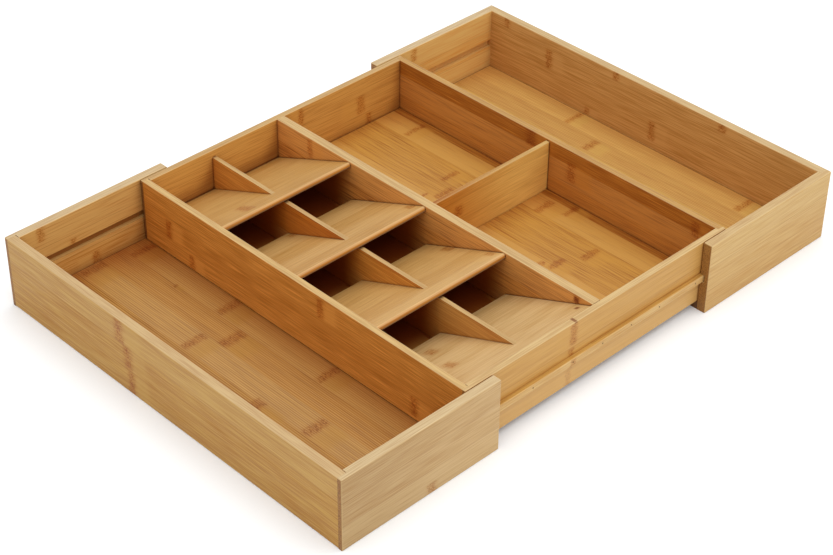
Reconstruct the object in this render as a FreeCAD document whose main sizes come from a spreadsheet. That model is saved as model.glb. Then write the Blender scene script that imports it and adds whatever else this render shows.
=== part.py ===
# Expandable bamboo drawer organizer.
#
# A centre tray carries a bank of four stepped cutlery shelves in two columns on its left and
# two open compartments on its right. A three-walled outer tray slides over each end of it,
# guided by runner strips nailed to the long sides, which run in grooves in the outer trays.
#
# Frame: +X towards the right tray, +Y to the back, +Z up; origin under the middle of the
# extended organizer, on the face it rests on. Millimetres and degrees.

import FreeCAD
import Part
import Sketcher
import math
import os

doc = FreeCAD.newDocument("DrawerOrganizer")

# Driving dimensions
sheet = doc.addObject("Spreadsheet::Sheet", "Sizes")
sizes = [
    # outer trays
    ("tray_length", 159.0, "one outer tray along X"),
    ("tray_depth", 400.0, "outer trays, front to back"),
    ("tray_height", 67.3, "outer trays, rest face to rim"),
    ("tray_wall", 8.4, "outer tray wall thickness"),
    ("tray_floor", 7.2, "outer tray floor thickness"),
    ("tray_lap", 4.2, "how far an outer end wall laps into the side walls"),
    ("tray_round", 1.1, "rounding of the outer trays' edges"),
    ("overlap", 28.7, "outer tray over centre tray when fully extended"),
    # centre tray
    ("centre_length", 300.6, "centre tray along X"),
    ("centre_wall", 6.0, "centre tray wall thickness"),
    ("centre_lap", 3.0, "how far a centre end wall laps into the side walls"),
    ("centre_floor", 5.6, "centre tray floor thickness"),
    ("centre_recess", 2.6, "centre floor above the bottom edge of its walls"),
    ("centre_round", 0.8, "rounding of the centre tray's edges"),
    ("side_clearance", 0.8, "between centre and outer side walls, each side"),
    ("under_clearance", 0.6, "centre tray above the outer floors"),
    ("rim_drop", 0.3, "centre rim below the outer rim"),
    # dividers
    ("divider_wall", 8.6, "long divider thickness"),
    ("divider_shift", -0.3, "long divider from the middle of the tray"),
    ("cross_wall", 4.0, "cross divider thickness"),
    ("cross_drop", 2.0, "cross divider below the centre rim"),
    # cutlery bank
    ("shelf_slope", 22.6, "shelves fall to the back by this angle"),
    ("shelf_board", 5.0, "shelf thickness"),
    ("shelf_nose", 2.3, "rounding of a shelf's front edge"),
    ("shelf_crest", 0.4, "top front corner of a shelf below the centre rim"),
    ("shelf_end", 2.8, "first and last shelf longer than the pitch"),
    ("shelf_middle", 0.0, "front of the second shelf from the middle of the tray"),
    ("shelf_gap", 2.5, "from the front of a shelf to the back of the next one"),
    ("shelf_sink", 1.3, "last shelf's front edge below the other crests"),
    ("column_wall", 4.0, "column divider thickness"),
    ("column_drop", 7.3, "column dividers below the centre rim"),
    ("column_shift", -1.5, "column dividers from the middle of the bank"),
    # runners
    ("runner_height", 6.6, "runner strip height"),
    ("runner_depth", 3.8, "runner strip proud of the centre tray"),
    ("runner_rise", 21.4, "runner above the centre tray's bottom edge"),
    ("runner_inset", 10.0, "runner ends short of the centre tray's ends"),
    ("runner_play", 0.45, "groove above and below the runner"),
    ("groove_clearance", 1.2, "groove behind the runner"),
    # nails
    ("nail_radius", 0.75, "nails that hold a runner"),
    ("nail_bite", 3.0, "nail in the centre wall"),
    ("nail_row", 16.0, "middle of the row of nails from the tray's middle"),
    ("nail_near", 17.0, "first nails from the row's middle"),
    ("nail_next", 51.0, "second nails from the row's middle"),
    ("nail_far", 96.0, "third nails from the row's middle"),
]
derived = [
    ("left_edge", "=-(centre_length / 2 - overlap + tray_length)"),
    ("half_depth", "=tray_depth / 2"),
    ("tray_inner", "=half_depth - tray_wall"),
    ("lap_start", "=tray_wall - tray_lap"),
    ("centre_bottom", "=tray_floor + under_clearance"),
    ("rim", "=tray_height - rim_drop"),
    ("centre_height", "=rim - centre_bottom"),
    ("centre_half", "=tray_inner - side_clearance"),
    ("centre_inner", "=centre_half - centre_wall"),
    ("centre_end", "=centre_length / 2"),
    ("end_inner", "=centre_end - centre_wall"),
    ("floor_level", "=centre_bottom + centre_recess + centre_floor"),
    ("divider_left", "=divider_shift - divider_wall / 2"),
    ("divider_right", "=divider_shift + divider_wall / 2"),
    ("groove_depth", "=runner_depth - side_clearance + groove_clearance"),
    ("groove_level", "=centre_bottom + runner_rise - runner_play"),
    ("groove_height", "=runner_height + 2 * runner_play"),
    ("bank_width", "=divider_left + end_inner"),
    ("column_left", "=(divider_left - end_inner) / 2 + column_shift - column_wall / 2"),
    ("fall", "=tan(shelf_slope * 1deg)"),
    ("upright", "=shelf_board * cos(shelf_slope * 1deg)"),
    ("lean", "=shelf_board * sin(shelf_slope * 1deg)"),
    ("under", "=shelf_board / cos(shelf_slope * 1deg)"),
    ("crest", "=rim - shelf_crest"),
    ("last_crest", "=crest - shelf_sink"),
    ("shelf_pitch", "=(centre_inner - shelf_end) / 2"),
    ("front_a", "=shelf_middle + shelf_pitch"),
    ("front_b", "=shelf_middle"),
    ("front_c", "=shelf_middle - shelf_pitch"),
    ("front_d", "=-centre_inner"),
    ("reach_a", "=centre_inner - front_a"),
    ("reach_b", "=front_a - shelf_gap - front_b"),
    ("reach_c", "=front_b - shelf_gap - front_c"),
    ("reach_d", "=front_c - shelf_gap - front_d"),
    ("column_top", "=rim - column_drop"),
    ("tip_run", "=(crest - column_top) / fall"),
    ("last_tip_run", "=(last_crest - column_top) / fall"),
    ("nose_run", "=(crest - under - column_top) / fall"),
]
row = 1
for name, value, note in sizes:
    sheet.set("A%d" % row, name)
    sheet.set("B%d" % row, repr(value))
    sheet.set("C%d" % row, note)
    sheet.setAlias("B%d" % row, name)
    row += 1
for name, formula in derived:
    sheet.set("A%d" % row, name)
    sheet.set("B%d" % row, formula)
    sheet.setAlias("B%d" % row, name)
    row += 1
doc.recompute()
aliases = [item[0] for item in sizes + derived]


# Expressions are written with the sheet's plain names
def cells(text):
    out = ""
    word = ""
    for letter in text + " ":
        if letter.isalnum() or letter == "_":
            word += letter
            continue
        if word in aliases:
            word = "Sizes." + word
        out += word + letter
        word = ""
    return out.strip()


def bind(thing, field, text):
    thing.setExpression(field, cells(text))


# Bodies, sketches and features
def new_body(label, x, y, z, turned=False):
    body = doc.addObject("PartDesign::Body", label)
    body.Label = label
    angle = 180 if turned else 0
    body.Placement = FreeCAD.Placement(
        FreeCAD.Vector(0, 0, 0), FreeCAD.Rotation(FreeCAD.Vector(0, 0, 1), angle)
    )
    bind(body, "Placement.Base.x", x)
    bind(body, "Placement.Base.y", y)
    bind(body, "Placement.Base.z", z)
    return body


def new_sketch(body, role, name):
    sketch = body.newObject("Sketcher::SketchObject", name)
    plane = [f for f in body.Origin.OriginFeatures if f.Role == role][0]
    sketch.AttachmentSupport = [(plane, "")]
    sketch.MapMode = "FlatFace"
    return sketch


def place(sketch, part, end, u, v):
    """Set one sketch point by its distances from the origin."""
    for kind, text, axis in (("DistanceX", u, -2), ("DistanceY", v, -1)):
        if text == "0":
            sketch.addConstraint(Sketcher.Constraint("PointOnObject", part, end, axis))
            continue
        rule = sketch.addConstraint(Sketcher.Constraint(kind, -1, 1, part, end, 5.0))
        label = "%s%d" % (kind, part)
        sketch.renameConstraint(rule, label)
        bind(sketch, "Constraints." + label, text)


def outline(sketch, corners):
    """Closed outline through corners, each a pair of distances from the origin."""
    count = len(corners)
    spots = []
    for i in range(count):
        turn = 2 * math.pi * i / count
        spots.append(FreeCAD.Vector(20 - 10 * math.cos(turn), 20 - 10 * math.sin(turn), 0))
    for i in range(count):
        sketch.addGeometry(Part.LineSegment(spots[i], spots[(i + 1) % count]), False)
    for i in range(count):
        sketch.addConstraint(Sketcher.Constraint("Coincident", i, 2, (i + 1) % count, 1))
    for i in range(count):
        place(sketch, i, 1, corners[i][0], corners[i][1])


def rectangle(sketch, u, v, width, height):
    """Rectangle whose lower left corner lies at u, v."""
    right = width if u == "0" else u + " + " + width
    top = height if v == "0" else v + " + " + height
    outline(sketch, [(u, v), (right, v), (right, top), (u, top)])


def circles(sketch, spots, radius):
    first = sketch.GeometryCount
    normal = FreeCAD.Vector(0, 0, 1)
    for i in range(len(spots)):
        centre = FreeCAD.Vector(5 + 5 * i, 5, 0)
        sketch.addGeometry(Part.Circle(centre, normal, 1.0), False)
        rule = sketch.addConstraint(Sketcher.Constraint("Radius", first + i, 1.0))
        label = "Radius%d" % i
        sketch.renameConstraint(rule, label)
        bind(sketch, "Constraints." + label, radius)
        place(sketch, first + i, 3, spots[i][0], spots[i][1])


def pad(body, sketch, length):
    feature = body.newObject("PartDesign::Pad", body.Name + "_pad")
    feature.Profile = sketch
    bind(feature, "Length", length)
    sketch.Visibility = False
    doc.recompute()
    return feature


def cut(body, sketch, length=None):
    """Pocket through everything in front of the sketch, or as deep as length."""
    feature = body.newObject("PartDesign::Pocket", body.Name + "_cut")
    feature.Profile = sketch
    if length is None:
        feature.Type = 1
        feature.Reversed = True
    else:
        bind(feature, "Length", length)
    sketch.Visibility = False
    doc.recompute()
    return feature


def fillet(body, base, wanted, radius):
    """Round the edges that wanted accepts, given an edge's and the whole body's bounds."""
    whole = base.Shape.BoundBox
    names = []
    for i, edge in enumerate(base.Shape.Edges):
        if wanted(edge.BoundBox, whole):
            names.append("Edge%d" % (i + 1))
    feature = body.newObject("PartDesign::Fillet", body.Name + "_round")
    feature.Base = (base, names)
    bind(feature, "Radius", radius)
    doc.recompute()
    return feature


def near(a, b):
    return abs(a - b) < 0.01


# Which edges are rounded
def along_rim(edge, whole):
    if not (near(edge.ZMin, whole.ZMax) and near(edge.ZMax, whole.ZMax)):
        return False
    on_x = near(edge.XMax, whole.XMin) or near(edge.XMin, whole.XMax)
    on_y = near(edge.YMax, whole.YMin) or near(edge.YMin, whole.YMax)
    return on_x or on_y


def long_rim(edge, whole):
    long_enough = max(edge.XLength, edge.YLength) > 0.5 * max(whole.XLength, whole.YLength)
    return along_rim(edge, whole) and long_enough


def at_height(edge, height):
    return near(edge.ZMin, height) and near(edge.ZMax, height)


def side_wall_edges(outer):
    """Rim, outer corners and outer bottom edge; outer is the wall's outer side in Y."""

    def wanted(edge, whole):
        face = whole.YMin if outer == "low" else whole.YMax
        outside = near(edge.YMin, face) and near(edge.YMax, face)
        if along_rim(edge, whole):
            return True
        if outside and at_height(edge, whole.ZMin):
            return True
        at_end = near(edge.XMax, whole.XMin) or near(edge.XMin, whole.XMax)
        return outside and at_end and near(edge.ZLength, whole.ZLength)

    return wanted


def end_wall_edges(edge, whole):
    if long_rim(edge, whole):
        return True
    return near(edge.XMax, whole.XMin) and at_height(edge, whole.ZMin)


# Outer trays: each has two side walls with a runner groove, an end wall let into them and a
# floor between them; the right tray is the left one turned half way round
def outer_side_wall(label, x, y, outer, turned):
    inner_start = "lap_start" if outer == "low" else "0"
    groove_start = "tray_wall - groove_depth" if outer == "low" else "0"
    body = new_body(label, x, y, "0", turned)
    plan = new_sketch(body, "XY_Plane", label + "_plan")
    rectangle(plan, "0", "0", "tray_length", "tray_wall")
    pad(body, plan, "tray_height")
    rebate = new_sketch(body, "XY_Plane", label + "_rebate")
    rectangle(rebate, "0", inner_start, "tray_wall", "tray_lap")
    cut(body, rebate)
    groove = new_sketch(body, "YZ_Plane", label + "_groove")
    rectangle(groove, groove_start, "groove_level", "groove_depth", "groove_height")
    last = cut(body, groove)
    fillet(body, last, side_wall_edges(outer), "tray_round")
    return body


def outer_end_wall(label, x, y, turned):
    body = new_body(label, x, y, "0", turned)
    plan = new_sketch(body, "XY_Plane", label + "_plan")
    rectangle(plan, "0", "0", "tray_wall", "tray_depth - 2 * lap_start")
    last = pad(body, plan, "tray_height")
    fillet(body, last, end_wall_edges, "tray_round")
    return body


def outer_floor(label, x, y, turned):
    body = new_body(label, x, y, "0", turned)
    plan = new_sketch(body, "XY_Plane", label + "_plan")
    rectangle(plan, "0", "0", "tray_length - tray_wall", "2 * tray_inner")
    pad(body, plan, "tray_floor")
    return body


made = []
made.append(outer_side_wall("left_front_wall", "left_edge", "-half_depth", "low", False))
made.append(outer_side_wall("left_back_wall", "left_edge", "tray_inner", "high", False))
made.append(outer_end_wall("left_end_wall", "left_edge", "-half_depth + lap_start", False))
made.append(outer_floor("left_floor", "left_edge + tray_wall", "-tray_inner", False))
made.append(outer_side_wall("right_back_wall", "-left_edge", "half_depth", "low", True))
made.append(outer_side_wall("right_front_wall", "-left_edge", "-tray_inner", "high", True))
made.append(outer_end_wall("right_end_wall", "-left_edge", "half_depth - lap_start", True))
made.append(outer_floor("right_floor", "-left_edge - tray_wall", "tray_inner", True))

# Nail spots along the tray, from its left end
nail_spots = []
for step in ("- nail_far", "- nail_next", "- nail_near", "+ nail_near", "+ nail_next", "+ nail_far"):
    nail_spots.append("nail_row " + step)


# Centre tray: side walls with the end walls let into them, nail holes on the outer faces
def centre_side_wall(label, x, y, turned):
    body = new_body(label, x, y, "centre_bottom", turned)
    plan = new_sketch(body, "XY_Plane", label + "_plan")
    lap_from = "centre_wall - centre_lap"
    far = "centre_length - centre_wall"
    outline(
        plan,
        [
            ("0", "0"),
            ("centre_length", "0"),
            ("centre_length", lap_from),
            (far, lap_from),
            (far, "centre_wall"),
            ("centre_wall", "centre_wall"),
            ("centre_wall", lap_from),
            ("0", lap_from),
        ],
    )
    pad(body, plan, "centre_height")
    holes = new_sketch(body, "XZ_Plane", label + "_holes")
    spots = [("centre_end + " + spot, "runner_rise + runner_height / 2") for spot in nail_spots]
    circles(holes, spots, "nail_radius")
    last = cut(body, holes, "nail_bite")
    fillet(body, last, side_wall_edges("low"), "centre_round")
    return body


def centre_end_wall(label, x, y, turned):
    body = new_body(label, x, y, "centre_bottom", turned)
    plan = new_sketch(body, "XY_Plane", label + "_plan")
    rectangle(plan, "0", "0", "centre_wall", "2 * (centre_inner + centre_lap)")
    last = pad(body, plan, "centre_height")
    fillet(body, last, end_wall_edges, "centre_round")
    return body


def board(label, x, y, z, width, depth, height, rounding=None):
    """Plain upright or flat board, its rim rounded if asked."""
    body = new_body(label, x, y, z)
    plan = new_sketch(body, "XY_Plane", label + "_plan")
    rectangle(plan, "0", "0", width, depth)
    last = pad(body, plan, height)
    if rounding:
        fillet(body, last, long_rim, rounding)
    return body


made.append(centre_side_wall("centre_front_wall", "-centre_end", "-centre_half", False))
made.append(centre_side_wall("centre_back_wall", "centre_end", "centre_half", True))
made.append(
    centre_end_wall("centre_left_end_wall", "-centre_end", "-centre_inner - centre_lap", False)
)
made.append(
    centre_end_wall("centre_right_end_wall", "centre_end", "centre_inner + centre_lap", True)
)
made.append(
    board(
        "centre_floor",
        "-end_inner",
        "-centre_inner",
        "floor_level - centre_floor",
        "2 * end_inner",
        "2 * centre_inner",
        "centre_floor",
    )
)
made.append(
    board(
        "long_divider",
        "divider_left",
        "-centre_inner",
        "floor_level",
        "divider_wall",
        "2 * centre_inner",
        "rim - floor_level",
        "centre_round",
    )
)
made.append(
    board(
        "cross_divider",
        "divider_right",
        "-cross_wall / 2",
        "floor_level",
        "end_inner - divider_right",
        "cross_wall",
        "rim - cross_drop - floor_level",
        "centre_round",
    )
)


# Shelves: boards that fall to the back, with a rounded front edge
def shelf(label, front, reach):
    body = new_body(label, "-end_inner", front + " - lean", "crest - upright - " + reach + " * fall")
    side = new_sketch(body, "YZ_Plane", label + "_side")
    outline(
        side,
        [
            (reach, "0"),
            (reach + " + lean", "upright"),
            ("lean", reach + " * fall + upright"),
            ("0", reach + " * fall"),
        ],
    )
    last = pad(body, side, "bank_width")
    front_edge = float(sheet.lean) + 0.01

    def nose(edge, whole):
        across = near(edge.XLength, whole.XLength)
        return across and edge.YMax < whole.YMin + front_edge

    fillet(body, last, nose, "shelf_nose")
    return body


def last_shelf(label):
    """The shelf that ends square against the front wall."""
    body = new_body(label, "-end_inner", "front_d", "last_crest - under - (reach_d - lean) * fall")
    side = new_sketch(body, "YZ_Plane", label + "_side")
    outline(
        side,
        [
            ("reach_d - lean", "0"),
            ("reach_d", "upright"),
            ("0", "(reach_d - lean) * fall + under"),
            ("0", "(reach_d - lean) * fall"),
        ],
    )
    pad(body, side, "bank_width")
    return body


made.append(shelf("shelf_1", "front_a", "reach_a"))
made.append(shelf("shelf_2", "front_b", "reach_b"))
made.append(shelf("shelf_3", "front_c", "reach_c"))
made.append(last_shelf("shelf_4"))


# Column dividers: a wedge on each shelf; from the second on, the board goes on under the
# shelf behind it and down to the floor
def wedge(label):
    height = "(column_top - crest + reach_a * fall)"
    body = new_body(label, "column_left", "front_a + tip_run", "crest - reach_a * fall")
    side = new_sketch(body, "YZ_Plane", label + "_side")
    run = height + " / fall"
    outline(side, [("0", height), (run, "0"), (run, height)])
    pad(body, side, "column_wall")
    return body


def stepped_board(label, front, crest, tip, reach, front_behind, reach_behind):
    body = new_body(label, "column_left", front + " + " + tip, "floor_level")
    side = new_sketch(body, "YZ_Plane", label + "_side")
    start = "(" + front + " + " + tip + ")"
    top = "column_top - floor_level"
    under_nose = front_behind + " + nose_run - " + start
    back = front_behind + " - lean + " + reach_behind + " - " + start
    back_top = "crest - upright - " + reach_behind + " * fall - floor_level"
    rest = front + " + " + reach + " - " + start
    rest_top = crest + " - " + reach + " * fall - floor_level"
    outline(
        side,
        [("0", top), (rest, rest_top), (rest, "0"), (back, "0"), (back, back_top), (under_nose, top)],
    )
    pad(body, side, "column_wall")
    return body


made.append(wedge("column_divider_1"))
made.append(
    stepped_board("column_divider_2", "front_b", "crest", "tip_run", "reach_b", "front_a", "reach_a")
)
made.append(
    stepped_board("column_divider_3", "front_c", "crest", "tip_run", "reach_c", "front_b", "reach_b")
)
made.append(
    stepped_board(
        "column_divider_4", "front_d", "last_crest", "last_tip_run", "reach_d", "front_c", "reach_c"
    )
)


# Runner strips, bored for their nails
def runner(label, x, y, turned):
    body = new_body(label, x, y, "centre_bottom + runner_rise", turned)
    face = new_sketch(body, "XZ_Plane", label + "_face")
    rectangle(face, "0", "0", "centre_length - 2 * runner_inset", "runner_height")
    spots = [("centre_end - runner_inset + " + spot, "runner_height / 2") for spot in nail_spots]
    circles(face, spots, "nail_radius")
    last = pad(body, face, "runner_depth")

    def outer_edges(edge, whole):
        along = near(edge.XLength, whole.XLength)
        return along and near(edge.YMax, whole.YMin)

    fillet(body, last, outer_edges, "centre_round")
    return body


made.append(runner("front_runner", "-centre_end + runner_inset", "-centre_half", False))
made.append(runner("back_runner", "centre_end - runner_inset", "centre_half", True))

# Nails: short round brads, heads level with the runner's face
nails = []
for side, mirror, start in (
    ("front", "", "-centre_half - runner_depth"),
    ("back", "-", "centre_half - nail_bite"),
):
    for i, spot in enumerate(nail_spots):
        nail = doc.addObject("Part::Cylinder", "nail_%s_%d" % (side, i + 1))
        nail.Placement = FreeCAD.Placement(
            FreeCAD.Vector(0, 0, 0), FreeCAD.Rotation(FreeCAD.Vector(1, 0, 0), -90)
        )
        bind(nail, "Radius", "nail_radius")
        bind(nail, "Height", "runner_depth + nail_bite")
        bind(nail, "Placement.Base.x", mirror + "(" + spot + ")")
        bind(nail, "Placement.Base.y", start)
        bind(nail, "Placement.Base.z", "centre_bottom + runner_rise + runner_height / 2")
        nails.append(nail)
nail_set = doc.addObject("Part::Compound", "runner_nails")
nail_set.Label = "runner_nails"
nail_set.Links = nails
made.append(nail_set)

doc.recompute()

# Checks, then one STEP file for each sub-part
for thing in doc.Objects:
    if "Invalid" in thing.State or "Error" in thing.State:
        raise RuntimeError("not rebuilt: " + thing.Label)
for thing in made:
    if thing.Shape.isNull() or not thing.Shape.isValid():
        raise RuntimeError("bad shape: " + thing.Label)
    box = thing.Shape.BoundBox
    print("%-22s" % thing.Label, "%2d solids" % len(thing.Shape.Solids), end=" ")
    print("x %7.1f %7.1f" % (box.XMin, box.XMax), "y %7.1f %7.1f" % (box.YMin, box.YMax), end=" ")
    print("z %6.1f %6.1f" % (box.ZMin, box.ZMax), "volume %.0f" % thing.Shape.Volume)

os.makedirs("parts", exist_ok=True)
for thing in made:
    thing.Shape.exportStep("parts/" + thing.Label + ".step")
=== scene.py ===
from math import radians
from types import SimpleNamespace
import bmesh
import bpy
from mathutils import Matrix, Vector


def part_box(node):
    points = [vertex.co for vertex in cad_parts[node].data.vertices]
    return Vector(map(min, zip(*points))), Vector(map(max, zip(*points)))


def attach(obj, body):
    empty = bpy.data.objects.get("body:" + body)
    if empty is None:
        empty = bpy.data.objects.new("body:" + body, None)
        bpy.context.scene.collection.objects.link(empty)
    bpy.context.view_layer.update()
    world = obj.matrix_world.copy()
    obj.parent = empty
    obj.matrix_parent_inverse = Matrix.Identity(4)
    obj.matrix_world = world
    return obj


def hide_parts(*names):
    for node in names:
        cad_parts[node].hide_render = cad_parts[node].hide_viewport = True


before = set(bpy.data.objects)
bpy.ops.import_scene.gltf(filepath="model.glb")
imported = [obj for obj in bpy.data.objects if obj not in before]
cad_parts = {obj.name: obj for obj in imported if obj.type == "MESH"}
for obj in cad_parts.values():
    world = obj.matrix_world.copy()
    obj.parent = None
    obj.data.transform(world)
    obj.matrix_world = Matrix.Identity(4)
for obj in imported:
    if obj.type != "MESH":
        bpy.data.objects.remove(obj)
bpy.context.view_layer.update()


# Outer tray walls
# Six boards of pressed bamboo: split culms planed into strips about 22 mm wide and glued edge
# to edge. The boards meet in glued half laps, and are sanded, rounded over and lacquered.
def tone(code):
    """Linear colour of an sRGB hex value."""
    parts = [int(code[i : i + 2], 16) / 255 for i in (1, 3, 5)]
    return [p / 12.92 if p <= 0.04045 else ((p + 0.055) / 1.055) ** 2.4 for p in parts] + [1]


def add(tree, kind, inputs=(), **settings):
    """Adds a node, sets it up, and fills or links its inputs, in order or by name."""
    node = tree.nodes.new("ShaderNode" + kind)
    for name, value in settings.items():
        setattr(node, name, value)
    for key, value in inputs.items() if isinstance(inputs, dict) else enumerate(inputs):
        if isinstance(value, bpy.types.Node):
            value = next(socket for socket in value.outputs if socket.enabled)
        if isinstance(value, bpy.types.NodeSocket):
            tree.links.new(value, node.inputs[key])
        else:
            node.inputs[key].default_value = value
    return node


def stain(wood, mask, code, most=1.0, blend="MIX"):
    """Lets a colour into the wood where a mask is 1."""
    share = add(wood.tree, "Math", (mask, most), operation="MULTIPLY")
    parts = {0: share, 6: wood.color, 7: tone(code) if isinstance(code, str) else code}
    wood.color = add(wood.tree, "Mix", parts, data_type="RGBA", blend_type=blend)


def inside(wood, value, middle, half, soft):
    """A mask that is 1 where a value is within half of a middle, with a soft edge."""
    off = add(wood.tree, "Math", (value, middle), operation="SUBTRACT")
    off = add(wood.tree, "Math", (off,), operation="ABSOLUTE")
    edges = (off, half + soft / 2, half - soft / 2)
    return add(wood.tree, "MapRange", edges, interpolation_type="SMOOTHSTEP")


def bamboo(piece, along, across, light, dark, strip, seed, lean=0.0, sorted_strips=0.4):
    """Laminated bamboo. The eye sees straight fine fibres along the board and a new tone at
    each glued strip, less so where the strips were sorted by tone. Lengths are in mm. A strip
    is its width and where one begins. Light and dark are the palest and the darkest fibres."""
    material = bpy.data.materials.new("laminated_bamboo_" + piece)
    material.use_nodes = True
    tree = material.node_tree
    tree.nodes.clear()

    # the board's own directions, in mm
    place = add(tree, "TexCoord")
    pitch = (lean, 0, 0)
    spot = {"Vector": place.outputs["Object"], "Rotation": pitch, "Scale": (1000, 1000, 1000)}
    spot = add(tree, "Mapping", spot)
    axes = add(tree, "SeparateXYZ", (spot,))
    normal = {"Vector": place.outputs["Normal"], "Rotation": pitch}
    face = add(tree, "SeparateXYZ", (add(tree, "Mapping", normal, vector_type="NORMAL"),))
    run, side = axes.outputs[along], axes.outputs[across]
    depth = axes.outputs[({"X", "Y", "Z"} - {along, across}).pop()]

    # glued strips, with a dark line of glue between them
    width, start = strip
    glue_line = 0.6
    row = add(tree, "Math", (side, 1 / width, -start / width), operation="MULTIPLY_ADD")
    number = add(tree, "Math", (row,), operation="FLOOR")
    pick = add(tree, "CombineXYZ", (number, seed + 0.5))
    chance = add(tree, "TexWhiteNoise", {"Vector": pick}, noise_dimensions="3D")
    chance = add(tree, "SeparateColor", (chance.outputs["Color"],))
    in_strip = add(tree, "Math", (row,), operation="FRACT")
    from_middle = add(tree, "Math", (in_strip, 0.5), operation="SUBTRACT")
    from_middle = add(tree, "Math", (from_middle,), operation="ABSOLUTE")
    rim = (from_middle, 0.5 - glue_line / width, 0.5)
    glue = add(tree, "MapRange", rim, interpolation_type="SMOOTHSTEP")

    # fibres, which start anew in each strip, as if it had slipped along its neighbour
    slip = 900.0
    slid = add(tree, "Math", (chance.outputs[0], slip, run), operation="MULTIPLY_ADD")
    fibre = add(tree, "CombineXYZ", (slid, side, depth))

    def streaks(length, thickness, shift, detail=2.0):
        scale = (1 / length, 1 / thickness, 1 / thickness)
        laid = {"Vector": fibre, "Location": (shift + seed, shift, 0), "Scale": scale}
        cloud = {"Vector": add(tree, "Mapping", laid), "Scale": 1.0, "Detail": detail}
        return add(tree, "TexNoise", {**cloud, "Roughness": 0.55})

    # single fibres are finer than the eye can part here, so the thinnest streaks are 0.68 mm
    # thick. With them go bundles of fibres, and a slow drift of tone over the whole board.
    hairs = streaks(34, 0.68, 0, 1.0)
    bundles = streaks(80, 2.4, 5)
    drift = streaks(260, 14, 9, 1.0)

    # unlike is how much the tone of a strip counts beside its fibres
    unlike = 0.9 - 1.2 * sorted_strips
    grain = add(tree, "Math", (hairs, 1.9), operation="MULTIPLY")
    for part, share in ((bundles, 0.16), (drift, 0.26), (chance.outputs[1], unlike)):
        grain = add(tree, "Math", (part, share, grain), operation="MULTIPLY_ADD")
    palest, darkest = 0.75 + unlike / 2, 1.63 + unlike / 2
    grain = add(tree, "MapRange", (grain, palest, darkest), interpolation_type="SMOOTHSTEP")
    color = add(tree, "Mix", {0: grain, 6: tone(light), 7: tone(dark)}, data_type="RGBA")
    wood = SimpleNamespace(
        piece=piece, material=material, tree=tree, place=place, spot=spot, axes=axes, face=face,
        along=along, run=run, side=side, fibre=fibre, light=light, color=color,
        glue=glue, hairs=hairs, bundles=bundles,
    )

    # dark strips are also warmer, pale ones a little more like straw
    warm = add(tree, "MapRange", (chance.outputs[1], 0.4, 1.0))
    straw = add(tree, "MapRange", (chance.outputs[1], 0.5, 0.0))
    stain(wood, warm, "#F0C890", 0.26 - 0.36 * sorted_strips, "MULTIPLY")
    stain(wood, straw, "#F2D6A0", 0.08)
    stain(wood, glue, "#8A4F1A", 0.22)
    return wood


def culm_nodes(wood, knots, code="#CCA56C"):
    """Where a strip crosses a joint of the culm the eye sees short dark strokes in a band that
    sways a little, a brown bloom round them and paler wood on one side. A knot is (along,
    across, long, wide) in mm."""
    tree = wood.tree
    sway = 6.0
    wander = add(tree, "TexNoise", {"Vector": wood.fibre, "Scale": 0.28, "Detail": 2.0})
    bent = add(tree, "Math", (wood.run, sway / 2), operation="SUBTRACT")
    bent = add(tree, "Math", (wander, sway, bent), operation="MULTIPLY_ADD")
    # strokes about 2 mm long and 0.8 mm wide
    drawn = add(tree, "Mapping", {"Vector": wood.fibre, "Scale": (0.5, 1.2, 1.2)})
    cloud = {"Vector": drawn, "Scale": 1.0, "Detail": 3.0, "Roughness": 0.65}
    strokes = add(tree, "TexNoise", cloud)
    strokes = add(tree, "MapRange", (strokes, 0.46, 0.60), interpolation_type="SMOOTHSTEP")
    for at, level, long, wide in knots:
        beside = inside(wood, wood.side, level, wide * 0.46, 0.8 + wide * 0.12)
        bloom = inside(wood, bent, at, long * 0.45, long * 0.8)
        bloom = add(tree, "Math", (bloom, beside), operation="MULTIPLY")
        ring = inside(wood, bent, at + long * 0.12, 1.0, 2.0)
        ring = add(tree, "Math", (ring, 0.3), operation="MULTIPLY")
        band = inside(wood, bent, at, long * 0.42, long * 0.4)
        band = add(tree, "Math", (band, ring), operation="MAXIMUM")
        band = add(tree, "Math", (band, beside), operation="MULTIPLY")
        marks = add(tree, "Math", (band, strokes), operation="MULTIPLY")
        pale = inside(wood, bent, at - long * 1.4, long * 0.9, long)
        pale = add(tree, "Math", (pale, beside), operation="MULTIPLY")
        stain(wood, pale, wood.light, 0.45)
        stain(wood, bloom, "#E4BA7E", 0.42, "MULTIPLY")
        stain(wood, marks, code, 0.85, "MULTIPLY")


def darker_toward(wood, start, end, code):
    """A board takes on a colour gradually from start to end, in mm along it."""
    gradient = add(wood.tree, "MapRange", (wood.run, start, end), interpolation_type="SMOOTHSTEP")
    stain(wood, gradient, code, 1.0, "MULTIPLY")


def cut_ends(wood):
    """A board's end, cut across the fibres: brown, with the darker dots of the bundles, which
    lie about 0.9 mm apart."""
    tree = wood.tree
    pores = add(tree, "TexVoronoi", {"Vector": wood.spot, "Scale": 1.1})
    pores = add(tree, "MapRange", (pores, 0.15, 0.6), interpolation_type="SMOOTHSTEP")
    cut = {0: pores, 6: tone("#6E441C"), 7: tone("#A27238")}
    cut = add(tree, "Mix", cut, data_type="RGBA").outputs[2]
    end = add(tree, "Math", (wood.face.outputs[wood.along],), operation="ABSOLUTE")
    end = add(tree, "MapRange", (end, 0.75, 0.92), interpolation_type="SMOOTHSTEP")
    stain(wood, end, cut)


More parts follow.
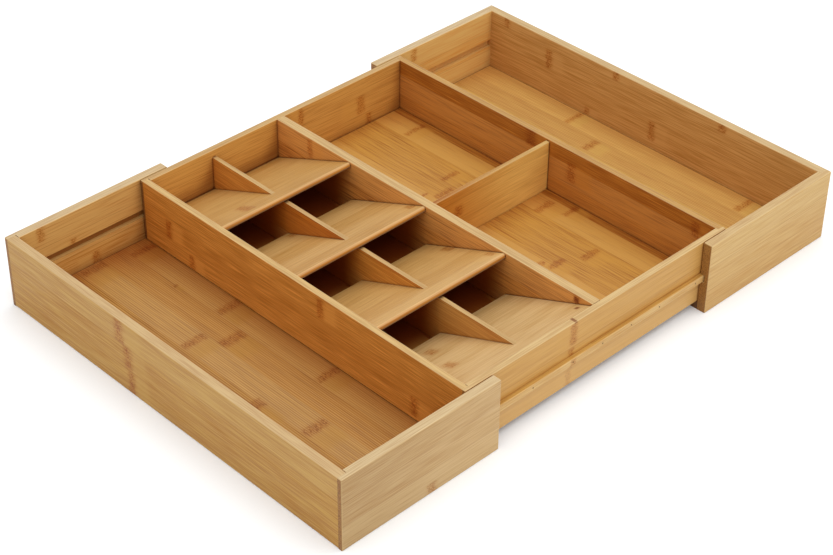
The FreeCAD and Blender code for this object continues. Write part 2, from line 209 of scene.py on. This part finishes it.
def sanded_edge(wood, axis, sign, code, top=None):
    """An edge that the belt sander went along: paler, with its fibres opened as fine lines.
    Where a top is given, in mm, only what lies at that height is sanded, and no groove is."""
    tree = wood.tree
    toward = add(tree, "Math", (wood.face.outputs[axis], sign), operation="MULTIPLY")
    toward = add(tree, "MapRange", (toward, 0.35, 0.8), interpolation_type="SMOOTHSTEP")
    if top:
        rim = inside(wood, wood.axes.outputs["Z"], top, 3.0, 1.0)
        toward = add(tree, "Math", (toward, rim), operation="MULTIPLY")
    stain(wood, toward, code, 0.88)
    lines = add(tree, "MapRange", (wood.hairs, 0.40, 0.62), interpolation_type="SMOOTHSTEP")
    lines = add(tree, "Math", (lines, toward), operation="MULTIPLY")
    stain(wood, lines, "#C0945A", 0.36, "MULTIPLY")


def corner_shade(wood, reach, most, code="#8C5428"):
    """Painted shade where other boards stand close, within reach in mm, darker the nearer they
    stand. With a reach of 2 or 3 it is a thin line of painted shade along a glued joint."""
    tree = wood.tree
    near = add(tree, "AmbientOcclusion", {"Distance": reach / 1000}, samples=8).outputs["AO"]
    near = add(tree, "MapRange", (near, 0.85, 0.35), interpolation_type="SMOOTHSTEP")
    stain(wood, near, code, most, "MULTIPLY")


def lacquer(wood):
    """Paler rounded edges, partly rubbed wear and partly a painted highlight, and clear satin
    lacquer over all. It sinks into the open pores, so the sheen breaks along the fibres. Then the
    board's CAD piece gets the material."""
    tree = wood.tree
    flattest = 0.0
    for direction in wood.face.outputs:
        level = add(tree, "Math", (direction,), operation="ABSOLUTE")
        flattest = add(tree, "Math", (flattest, level), operation="MAXIMUM")
    # the rounded edges are paler: partly wear, partly a painted highlight
    rubbed_and_highlit = add(tree, "MapRange", (flattest, 0.985, 0.93), interpolation_type="SMOOTHSTEP")
    stain(wood, rubbed_and_highlit, "#E3C896", 0.25)
    sheen = add(tree, "MapRange", (wood.bundles, 0.3, 0.7, 0.38, 0.54))
    swell = add(tree, "Math", (wood.glue, -0.8, wood.hairs), operation="MULTIPLY_ADD")
    relief = add(tree, "Bump", {"Height": swell, "Strength": 0.3, "Distance": 0.0002})
    skin = {"Base Color": wood.color, "Roughness": sheen, "Normal": relief, "IOR": 1.5}
    shader = add(tree, "BsdfPrincipled", {**skin, "Specular IOR Level": 0.3})
    add(tree, "OutputMaterial", {"Surface": shader})
    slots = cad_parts[wood.piece].data.materials
    slots.clear()
    slots.append(wood.material)


# the back faces of the grooves in the back walls are painted: a brown painted shade in the left
# wall, a paler painted light in the right, each wall with a painted shade near the other boards.
# Their place and half their size, up and in, are in mm.
groove_paint = {"left_back_wall": ("#A26C32", 16, 0.6), "right_back_wall": ("#E4B46C", 12, 0.35)}
groove_level, groove_half = 32.5, 4.3
groove_depth, depth_half = 195.0, 2.6
for piece, along, light, dark, edge, strip, seed, knots in (
    ("left_end_wall", "Y", "#C89D50", "#AE772B", "#C1A578", (22.4, 0), 156,
     [(52, 56, 12, 24), (43, 34, 10, 24), (40, 11, 9, 24)]),
    ("left_front_wall", "X", "#D6B683", "#BF9760", "#C6AF85", (22.4, 0), 2, [(-192, 5, 9, 11)]),
    ("left_back_wall", "X", "#E2B466", "#C58439", "#C1AB85", (21, 4), 65,
     [(-252, 60, 8, 16), (-222, 37, 6, 9), (-201, 12, 8, 14)]),
    ("right_end_wall", "Y", "#D29F5D", "#B37D3A", "#C2AA7D", (21.5, 14.5), 221,
     [(116, 46, 8, 21), (171, 63, 7, 12), (34, 63, 7, 10), (-12, 25, 8, 21), (-89, 63, 8, 10),
      (66, 12, 6, 8)]),
    ("right_front_wall", "X", "#DBB97A", "#C89956", "#C1A575", (22.4, 0), 160, []),
    ("right_back_wall", "X", "#E8C073", "#E0A453", "#C2AE8B", (21, 4), 192, [(169, 59, 7, 14)]),
):
    if piece == "left_end_wall":
        # its strips were better sorted, and its nodes are less brown
        wood = bamboo(piece, along, "Z", light, dark, strip, seed, sorted_strips=0.62)
        culm_nodes(wood, knots, "#D8A32E")
    else:
        wood = bamboo(piece, along, "Z", light, dark, strip, seed)
        culm_nodes(wood, knots)
    if piece == "left_front_wall":
        # darker toward its left end
        darker_toward(wood, -120, -285, "#EAE6E0")
    if along == "X":
        # the long boards run through to the corners, so their ends show
        cut_ends(wood)
    sanded_edge(wood, "Z", 1, edge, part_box(piece)[1][2] * 1000)
    if piece in groove_paint:
        code, reach, most = groove_paint[piece]
        # painted shade where other boards stand close
        corner_shade(wood, reach, most)
        groove = inside(wood, wood.axes.outputs["Z"], groove_level, groove_half, 0.5)
        planed = inside(wood, wood.axes.outputs["Y"], groove_depth, depth_half, 0.8)
        groove = add(wood.tree, "Math", (groove, planed), operation="MULTIPLY")
        groove_back_paint = add(wood.tree, "Math", (wood.face.outputs["Y"],), operation="ABSOLUTE")
        groove_back_paint = add(wood.tree, "Math", (groove_back_paint, groove), operation="MULTIPLY")
        # the groove's back face: painted shade in the left wall, painted light in the right
        stain(wood, groove_back_paint, code)
        # the groove's up-facing ledge: a painted highlight
        lit_ledge = add(wood.tree, "Math", (wood.face.outputs["Z"], groove), operation="MULTIPLY")
        stain(wood, lit_ledge, "#DCAE68", 0.7)
    lacquer(wood)


# Outer tray floors
# Thin bamboo ply panels let into the walls. Their strips run from front to back, and brushing
# has left the fibres standing as fine ribs. The left one came out of a browner batch.
def brushed(wood, share):
    """Ribs where the soft wood between the bundles is brushed away: brown between them and
    pale on their crests. They are as far apart as the real ones, in mm."""
    tree = wood.tree
    apart = 1.9
    one_wave = 0.314  # the length of a wave at scale 1
    laid = add(tree, "Mapping", {"Vector": wood.fibre, "Scale": (1 / 60, 1, 1)})
    waves = {"Vector": laid, "Scale": one_wave / apart, "Distortion": 2.5}
    waves = {**waves, "Detail": 2.0, "Detail Scale": 2.0}
    comb = add(tree, "TexWave", waves, bands_direction="Y").outputs["Fac"]
    stain(wood, comb, "#9C5F22", share)
    crest = add(tree, "MapRange", (comb, 0.4, 0.0), interpolation_type="SMOOTHSTEP")
    stain(wood, crest, "#E6BE82", share)


def glue_lines(wood, directions):
    """Thin dark lines of glue where a board meets its neighbours along these directions."""
    tree = wood.tree
    line = 0.6
    flat = {0: wood.place.outputs["Object"], "Scale": 1000.0}
    flat = add(tree, "SeparateXYZ", (add(tree, "VectorMath", flat, operation="SCALE"),))
    for axis in directions:
        low, high = (corner["XYZ".index(axis)] * 1000 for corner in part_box(wood.piece))
        board = inside(wood, flat.outputs[axis], (low + high) / 2, (high - low) / 2 - line, 0.8)
        stain(wood, add(tree, "Math", (1.0, board), operation="SUBTRACT"), "#4A2408", 0.75)


# one strip of each floor, given by its middle, is paler, and one beside it browner. Each floor's
# corners take a warm painted shade, given by its reach, strength and colour.
half_strip = 12
for piece, light, dark, strip, seed, ribs, paler, browner, floor_corner_shade, knots in (
    ("left_floor", "#A87A30", "#815111", (24.4, -222), 7, 0.26,
     (-210, "#EBCD90", 0.13), (-185, "#F6EBDD"), (60, 0.8, "#D89C60"),
     [(185, -209, 10, 26), (178, -162, 8, 26), (120, -174, 4, 5), (67, -161, 10, 25),
      (52, -210, 9, 25), (33, -186, 11, 25), (-42, -224, 12, 12), (-53, -161, 9, 25),
      (-93, -210, 11, 25)]),
    ("right_floor", "#C49E50", "#A8742F", (24, 248), 8, 0.22,
     (260, "#EEC372", 0.3), (236, "#F1E4DC"), (40, 0.4, "#E6B070"),
     [(70, 260, 6, 24), (28, 236, 8, 20), (-130, 260, 7, 24)]),
):
    wood = bamboo(piece, "Y", "X", light, dark, strip, seed, sorted_strips=0.25)
    middle, code, most = paler
    stain(wood, inside(wood, wood.side, middle, half_strip, 1), code, most)
    middle, code = browner
    stain(wood, inside(wood, wood.side, middle, half_strip, 1), code, 1.0, "MULTIPLY")
    brushed(wood, ribs)
    culm_nodes(wood, knots)
    glue_lines(wood, "XY")
    # warm painted shade in the corners, near the walls and the centre tray
    corner_shade(wood, *floor_corner_shade)
    lacquer(wood)


# Centre tray walls
# Four thinner bamboo boards, glued in the same half laps at the corners. Their lower edges take
# the floor, and the front and back ones carry the runners.
def bud_scar(wood, at, level, size):
    """The round brown scar of a bud on the culm, size mm from its middle to its rim."""
    long = inside(wood, wood.run, at, size, size)
    wide = inside(wood, wood.side, level, size, size)
    scar = add(wood.tree, "Math", (long, wide), operation="MULTIPLY")
    stain(wood, scar, "#A06C38", 0.85, "MULTIPLY")


# painted shade along a glued joint: its reach in mm, its strength and its colour. The front
# wall's is paler
joint_shade = (3, 0.75, "#7A4418")
pale_joint_shade = (3, 0.75, "#C08A50")
for piece, along, light, dark, edge, strip, seed, knots in (
    ("centre_front_wall", "X", "#D2A155", "#C28D44", "#C5A976", (22, 0), 133,
     [(-32, 56, 8, 22), (-34, 33, 7, 22), (-36, 12, 6, 22)]),
    ("centre_back_wall", "X", "#D99F4A", "#B8782A", "#BA9A67", (19, 10), 134,
     [(95, 40, 10, 20), (105, 22, 7, 12), (23, 58, 6, 18)]),
    ("centre_left_end_wall", "Y", "#EDA54E", "#B97529", "#C5A870", (21, 4), 104,
     [(156, 34, 8, 20), (127, 15, 7, 16), (-33, 55, 8, 20), (-138, 20, 8, 20)]),
    ("centre_right_end_wall", "Y", "#C47F2F", "#975618", "#B89152", (21, 10), 198,
     [(20, 60, 12, 20), (-28, 45, 10, 20), (-165, 55, 9, 16)]),
):
    wood = bamboo(piece, along, "Z", light, dark, strip, seed)
    culm_nodes(wood, knots)
    if along == "X":
        cut_ends(wood)
    if piece == "centre_front_wall":
        # its lowest strip, below the runner, is painted paler: painted light in the runner's
        # shade
        stain(wood, inside(wood, wood.side, 15, 14, 2), "#E8C080", 0.4)
    sanded_edge(wood, "Z", 1, edge)
    if piece == "centre_back_wall":
        # painted shade near the corners
        corner_shade(wood, 20, 0.6)
    elif piece == "centre_front_wall":
        bud_scar(wood, -30, 67, 1.4)
    # painted shade along the joints, paler on the front wall
    corner_shade(wood, *(pale_joint_shade if piece == "centre_front_wall" else joint_shade))
    lacquer(wood)


# Centre tray floor
# One bamboo ply panel glued into the four walls, its strips running from front to back. Under the
# shelves it is painted dark brown, as painted shade.
def pocket_shade(wood, right_side, code):
    """Painted shade: dark colour in the covered room behind each shelf's front edge, as far as
    right_side.
    The shelves repeat every pitch mm, and from their top they fall by a share of each mm."""
    tree = wood.tree
    pitch, shelf_top, fall = 91.0, 62.5, 0.416
    rear = add(tree, "Math", (wood.axes.outputs["Y"], 1 / pitch), operation="MULTIPLY")
    rear = add(tree, "Math", (rear,), operation="FRACT")
    rear = add(tree, "Math", (rear, pitch), operation="MULTIPLY")
    above = add(tree, "Math", (wood.axes.outputs["Z"], shelf_top), operation="SUBTRACT")
    above = add(tree, "Math", (rear, fall, above), operation="MULTIPLY_ADD")
    for value, off, on in (
        (above, 0.5, -0.5),
        (rear, -4.0, 22.0),
        (wood.axes.outputs["X"], right_side + 0.3, right_side - 0.3),
    ):
        share = add(tree, "MapRange", (value, off, on), interpolation_type="SMOOTHSTEP")
        if value is above:
            covered = share
        else:
            covered = add(tree, "Math", (covered, share), operation="MULTIPLY")
    stain(wood, covered, code)


# its strips were hardly sorted at all
wood = bamboo("centre_floor", "Y", "X", "#B98636", "#8F5518", (24, 16), 137, sorted_strips=-0.15)
culm_nodes(
    wood,
    [(147, 127, 6, 26), (71, 97, 6, 22), (55, 74, 7, 24), (65, 60, 4, 8), (-19, 122, 8, 24),
     (-75, 58, 6, 10), (-84, 68, 7, 20), (-40, 134, 7, 20), (-94, 98, 8, 22)],
)
# painted shade under the shelves
pocket_shade(wood, -4.6, "#7A3A10")
# warm painted shade near the walls and dividers
corner_shade(wood, 40, 0.5, "#E2A464")
glue_lines(wood, "XY")
lacquer(wood)


# Dividers
# Two bamboo boards on edge, glued to the floor and the walls. The long one parts the cutlery
# bank from the two compartments, and the cross one is let into it and parts the compartments.
for piece, along, light, dark, edge, strip, seed, knots in (
    ("long_divider", "Y", "#DA9444", "#965117", "#C1A673", (22, 2), 169,
     [(142, 57, 7, 20), (-168, 57, 8, 20)]),
    ("cross_divider", "X", "#F3C76F", "#DAA956", "#B99658", (22, 12), 15, [(33, 45, 10, 12)]),
):
    wood = bamboo(piece, along, "Z", light, dark, strip, seed)
    culm_nodes(wood, knots)
    sanded_edge(wood, "Z", 1, edge)
    if piece == "long_divider":
        bud_scar(wood, -168, 62, 2.5)
        # painted shade in the pockets under the shelves
        pocket_shade(wood, -1, "#964810")
    else:
        # painted shade, darker toward the long divider
        darker_toward(wood, 115, 10, "#DAB078")
        glue_lines(wood, "X")
    # painted shade along the joints
    corner_shade(wood, *joint_shade)
    lacquer(wood)


# Shelves
# Four sloping bamboo boards, glued in between the left wall and the long divider, each with a
# bullnosed front edge that overhangs the next one. Handles lie under the shelf behind.
slope = radians(22.6)
for number, light, dark, knots in (
    (1, "#BE9353", "#A97A39", [(-108, 75, 10, 20)]),
    (2, "#C3985B", "#AC7E3F", [(-8.5, -11, 6, 10), (-80, 61, 8, 10)]),
    (3, "#C59A5B", "#AC7F42", [(-9, -97, 6, 10), (-9, -45, 8, 14)]),
    (4, "#CBA874", "#B48C52", [(-108, -118, 10, 13), (-121, -154, 10, 14)]),
):
    strip = (23, 7 * number)
    wood = bamboo("shelf_%d" % number, "X", "Y", light, dark, strip, 15 + number, slope, 0.65)
    culm_nodes(wood, knots)
    if number == 4:
        bud_scar(wood, -11, -184.5, 2)
    sanded_edge(wood, "Y", -1, "#BA7926")
    # the underside is painted dark, as painted shade
    underside_shade = (wood.face.outputs["Z"], 0.0, -0.5)
    underside_shade = add(wood.tree, "MapRange", underside_shade, interpolation_type="SMOOTHSTEP")
    stain(wood, underside_shade, "#70340A")
    glue_lines(wood, "X")
    # painted shade along the shelf's joints
    corner_shade(wood, 2.5, 0.7, "#7A4418")
    lacquer(wood)


# Column dividers
# Four thin bamboo boards on edge that keep the cutlery columns apart, glued to the shelves.
# Each is cut on the slope of the shelf it stands on and goes on under the one behind.
for number, light, dark in (
    (1, "#E19E49", "#BB762E"),
    (2, "#CC7D2C", "#AE611E"),
    (3, "#E19D45", "#BE752A"),
    (4, "#D59A4C", "#B4712F"),
):
    strip = (21, 5 * number)
    wood = bamboo("column_divider_%d" % number, "Y", "Z", light, dark, strip, 19 + number)
    sanded_edge(wood, "Z", 1, "#B79A67")
    # painted shade in the pockets under the shelves
    pocket_shade(wood, -70, "#964810")
    # painted shade along the joints
    corner_shade(wood, *joint_shade)
    lacquer(wood)


# Runners
# A bamboo lath on each long wall of the centre tray, nailed and glued, which slides in
# the grooves of the outer trays.
for piece, light, dark, seed, knots in (
    ("front_runner", "#DEB979", "#C59450", 24, [(-35, 33, 6, 12)]),
    ("back_runner", "#DDB474", "#C4924C", 25, []),
):
    wood = bamboo(piece, "X", "Z", light, dark, (22, 17), seed)
    culm_nodes(wood, knots)
    cut_ends(wood)
    sanded_edge(wood, "Z", 1, "#C7994C")
    lacquer(wood)


# Runner nails
# Twelve steel brads, driven through the runners into the walls until their small round heads
# sit on the bamboo. Dull and a little tarnished. Radii and lengths are in metres.
brads = bmesh.new()
near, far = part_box("runner_nails")
level = (near[2] + far[2]) / 2
shank, shank_length = 0.00060, 0.0066
head, head_height = 0.00068, 0.00016
for at in (-0.080, -0.035, -0.001, 0.033, 0.067, 0.112):
    for way, skin_y in ((1, near[1]), (-1, far[1])):
        driven = Matrix.Rotation(radians(-90 * way), 4, "X")
        driven = Matrix.Translation((at * way, skin_y, level)) @ driven
        bmesh.ops.create_cone(
            brads, cap_ends=True, segments=16, radius1=head, radius2=head * 0.8,
            depth=head_height, matrix=driven,
        )
        bmesh.ops.create_cone(
            brads, cap_ends=True, segments=16, radius1=shank, radius2=shank,
            depth=shank_length, matrix=driven @ Matrix.Translation((0, 0, shank_length / 2)),
        )
mesh = bpy.data.meshes.new("runner_brads")
brads.to_mesh(mesh)
brads.free()
brads = bpy.data.objects.new("runner_brads", mesh)
bpy.context.scene.collection.objects.link(brads)

# Plain steel wire, drawn and then tumbled, and gone dull. The eye sees grey brown specks under
# 1 mm wide, some duller than others.
steel = bpy.data.materials.new("tarnished_steel_wire")
steel.use_nodes = True
tree = steel.node_tree
tree.nodes.clear()
place = add(tree, "TexCoord")
spots = add(tree, "TexNoise", {"Vector": place.outputs["Object"], "Scale": 1400.0, "Detail": 2.0})
metal = add(tree, "Mix", {0: spots, 6: tone("#6A4E30"), 7: tone("#98754A")}, data_type="RGBA")
dull = add(tree, "MapRange", (spots, 0.0, 1.0, 0.35, 0.65))
shader = add(tree, "BsdfPrincipled", {"Base Color": metal, "Metallic": 1.0, "Roughness": dull})
add(tree, "OutputMaterial", {"Surface": shader})
mesh.materials.append(steel)

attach(brads, "centre_tray")
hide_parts("runner_nails")


# Studio floor
# A sweep of matte white paper under the organizer, which the eye sees as plain white with the
# object's soft shadow. To the camera and in reflections it glows a little, so it stays white.
sheet = bmesh.new()
bmesh.ops.create_grid(sheet, x_segments=1, y_segments=1, size=6.0)
mesh = bpy.data.meshes.new("studio_floor")
sheet.to_mesh(mesh)
sheet.free()
sweep = bpy.data.objects.new("studio_floor", mesh)
bpy.context.scene.collection.objects.link(sweep)
paper = bpy.data.materials.new("matte_white_paper")
paper.use_nodes = True
tree = paper.node_tree
tree.nodes.clear()
rays = add(tree, "LightPath")
seen = rays.outputs["Is Camera Ray"]
for kind in ("Is Glossy Ray", "Is Transmission Ray"):
    seen = add(tree, "Math", (seen, rays.outputs[kind]), operation="MAXIMUM")
matte = add(tree, "BsdfDiffuse", {"Color": tone("#E1DEDA")})
shade = add(tree, "BsdfDiffuse", {"Color": tone("#F3F6F8")})
glow = add(tree, "Emission", {"Color": tone("#FFFFFF"), "Strength": 0.10})
white = add(tree, "AddShader", (shade, glow))
both = add(tree, "MixShader", (seen, matte, white))
add(tree, "OutputMaterial", {"Surface": both})
mesh.materials.append(paper)


# Studio light
# A white room all round, and one large softbox overhead, a little to the front. To the camera
# and in reflections the room is plain white.
world = bpy.data.worlds.new("studio_room")
bpy.context.scene.world = world
world.use_nodes = True
tree = world.node_tree
tree.nodes.clear()
rays = add(tree, "LightPath")
seen = rays.outputs["Is Camera Ray"]
for kind in ("Is Glossy Ray", "Is Transmission Ray"):
    seen = add(tree, "Math", (seen, rays.outputs[kind]), operation="MAXIMUM")
room = add(tree, "Background", {"Color": tone("#FFFFFF"), "Strength": 0.75})
blank = add(tree, "Background", {"Color": tone("#FFFFFF"), "Strength": 1.0})
both = add(tree, "MixShader", (seen, room, blank))
add(tree, "OutputWorld", {"Surface": both})

softbox = bpy.data.lights.new("softbox", "AREA")
softbox.shape = "SQUARE"
softbox.size = 2.4
softbox.energy = 32
lamp = bpy.data.objects.new("softbox", softbox)
stand = Vector((0.03, -0.3, 2.0))
aim = (-stand).to_track_quat("-Z", "Y").to_matrix().to_4x4()
lamp.matrix_world = Matrix.Translation(stand) @ aim
bpy.context.scene.collection.objects.link(lamp)


# Camera
# High over the left front corner of the organizer, with a long lens, which keeps its long
# edges nearly parallel.
lens = bpy.data.cameras.new("camera")
lens.sensor_width = 36
lens.lens = 86.78
eye = Vector((-0.9653, -0.9670, 0.9986))
ahead = Vector((0.5647, 0.5736, -0.5934)).normalized()
right = Vector((0.7170, -0.6970, 0.0087))
up = right.cross(ahead).normalized()
right = ahead.cross(up)
camera = bpy.data.objects.new("camera", lens)
turn = Matrix((right, up, -ahead)).transposed().to_4x4()
camera.matrix_world = Matrix.Translation(eye) @ turn
bpy.context.scene.collection.objects.link(camera)
bpy.context.scene.camera = camera
bpy.context.scene.view_settings.view_transform = "Standard"
